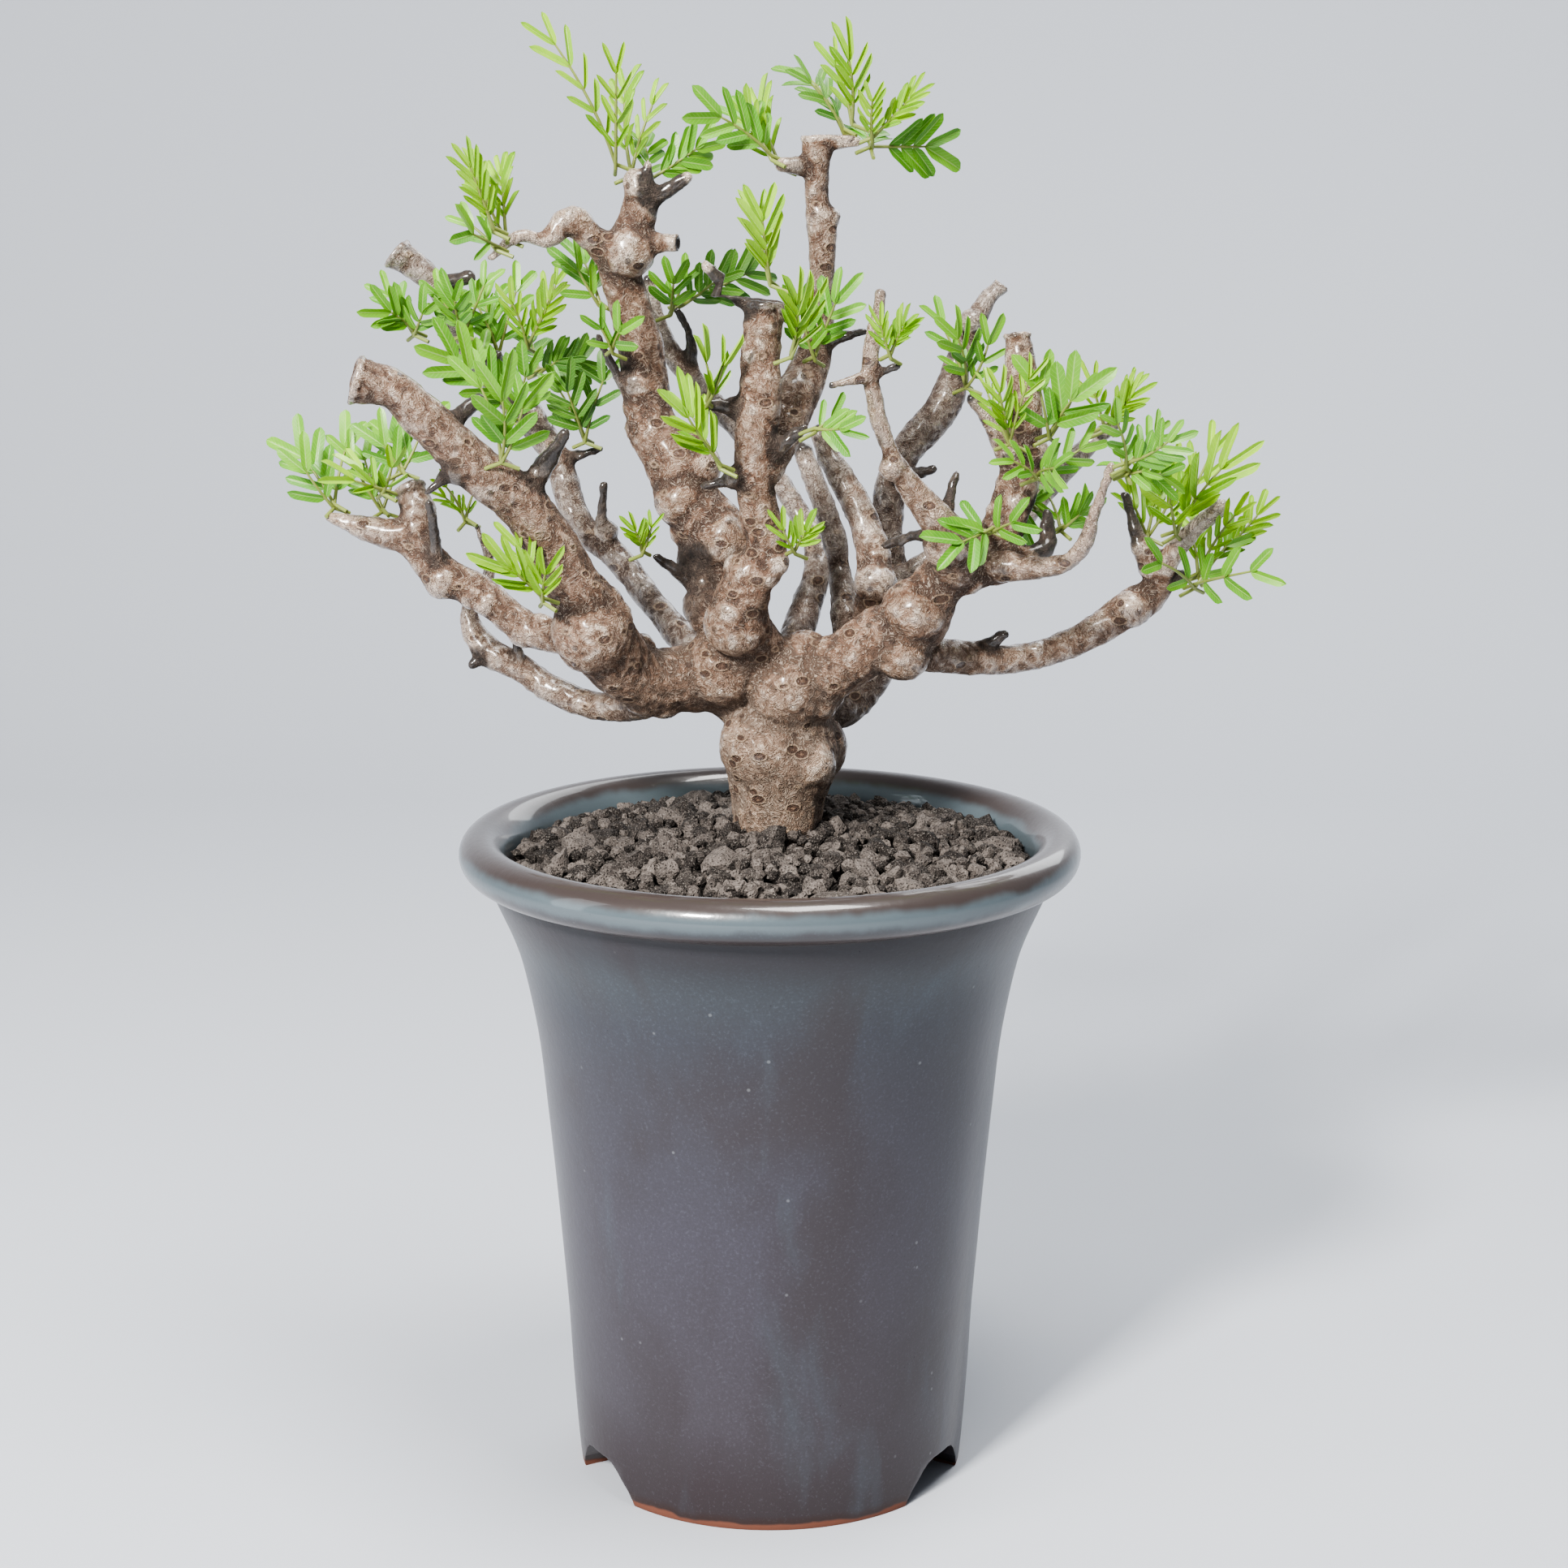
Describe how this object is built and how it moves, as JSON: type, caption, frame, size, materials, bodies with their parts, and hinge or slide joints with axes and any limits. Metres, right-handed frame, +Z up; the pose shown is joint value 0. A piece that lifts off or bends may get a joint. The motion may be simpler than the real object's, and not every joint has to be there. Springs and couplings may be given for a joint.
{
  "type": "bonsai tree in a pot",
  "caption": "Small leafy bonsai tree with a gnarled branching trunk, growing in gravel in a tall round glazed pot.",
  "frame": {"origin": "on the floor at the pot's axis", "axes": "+Z up along the pot's axis, -Y towards the tree's front, +X to the right of the front"},
  "size_m": [0.2445, 0.1494, 0.3526],
  "materials": {
    "slate_glaze": "smoky slate-grey satin-gloss glaze, mottled, bare terracotta at the foot",
    "mesh_plastic": "matt black plastic",
    "soil_mix": "damp gritty soil",
    "lava_gravel": "porous grey-brown lava gravel",
    "bark": "cream-tan glossy swellings, brown creases, grey older limbs, black dead twigs",
    "young_leaf": "bright yellow-green, satin",
    "full_leaf": "mid green, satin",
    "old_leaf": "dark green, satin"
  },
  "bodies": {
    "root": {"pot": "slate_glaze", "drainage_mesh": "mesh_plastic", "soil_mix": "soil_mix", "gravel_topping": "lava_gravel", "tree": "bark", "leaf_01": "young_leaf", "leaf_02": "young_leaf", "leaf_03": "full_leaf", "leaf_04": "young_leaf", "leaf_05": "young_leaf", "leaf_06": "full_leaf", "leaf_07": "full_leaf", "leaf_08": "young_leaf", "leaf_09": "young_leaf", "leaf_10": "old_leaf", "leaf_11": "young_leaf", "leaf_12": "full_leaf", "leaf_13": "young_leaf", "leaf_14": "young_leaf", "leaf_15": "full_leaf", "leaf_16": "full_leaf", "leaf_17": "young_leaf", "leaf_18": "young_leaf", "leaf_19": "young_leaf", "leaf_20": "young_leaf", "leaf_21": "full_leaf", "leaf_22": "full_leaf", "leaf_23": "old_leaf", "leaf_24": "full_leaf", "leaf_25": "young_leaf", "leaf_26": "full_leaf", "leaf_27": "young_leaf", "leaf_28": "full_leaf", "leaf_29": "full_leaf", "leaf_30": "full_leaf", "leaf_31": "full_leaf", "leaf_32": "young_leaf", "leaf_33": "full_leaf", "leaf_34": "full_leaf", "leaf_35": "full_leaf", "leaf_36": "young_leaf", "leaf_37": "young_leaf", "leaf_38": "young_leaf", "leaf_39": "full_leaf", "leaf_40": "full_leaf", "leaf_41": "young_leaf", "leaf_42": "full_leaf", "leaf_43": "full_leaf", "leaf_44": "full_leaf", "leaf_45": "full_leaf", "leaf_46": "full_leaf", "leaf_47": "young_leaf", "leaf_48": "full_leaf", "leaf_49": "old_leaf", "leaf_50": "full_leaf", "leaf_51": "old_leaf", "leaf_52": "young_leaf", "leaf_53": "young_leaf"}
  },
  "joints": []
}
